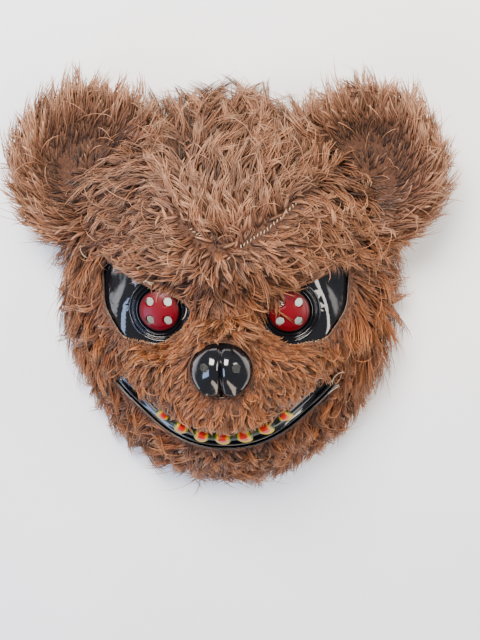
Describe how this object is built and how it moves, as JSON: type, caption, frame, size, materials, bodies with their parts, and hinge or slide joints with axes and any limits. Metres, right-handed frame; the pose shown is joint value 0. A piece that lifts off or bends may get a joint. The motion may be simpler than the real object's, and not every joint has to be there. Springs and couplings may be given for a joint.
{
  "type": "plush bear mask",
  "caption": "Animal face mask: a domed rigid shell under long fur, with round stuffed ears, button eyes, a grinning mouth with teeth and an elastic band.",
  "frame": {"origin": "On the surface that the mask rests on, under the middle of the whole mask with its fur and ears.", "axes": "+X to the viewer's right of the mask's face, +Y towards the top of the head, +Z out of the face"},
  "size_m": [0.2428, 0.2298, 0.0958],
  "materials": {
    "black_plastic": "gloss",
    "brown_fur": "long pile",
    "red_plastic": "gloss",
    "yellow_plastic": "gloss",
    "elastic": "woven",
    "rivet_steel": "bright"
  },
  "bodies": {
    "root": {"face_shell": "black_plastic", "fur_cover": "brown_fur", "ear_left": "brown_fur", "ear_right": "brown_fur", "eye_button_left": "red_plastic", "eye_button_right": "red_plastic", "teeth": "yellow_plastic", "elastic_band": "elastic", "band_rivet_left": "rivet_steel", "band_rivet_right": "rivet_steel"}
  },
  "joints": []
}
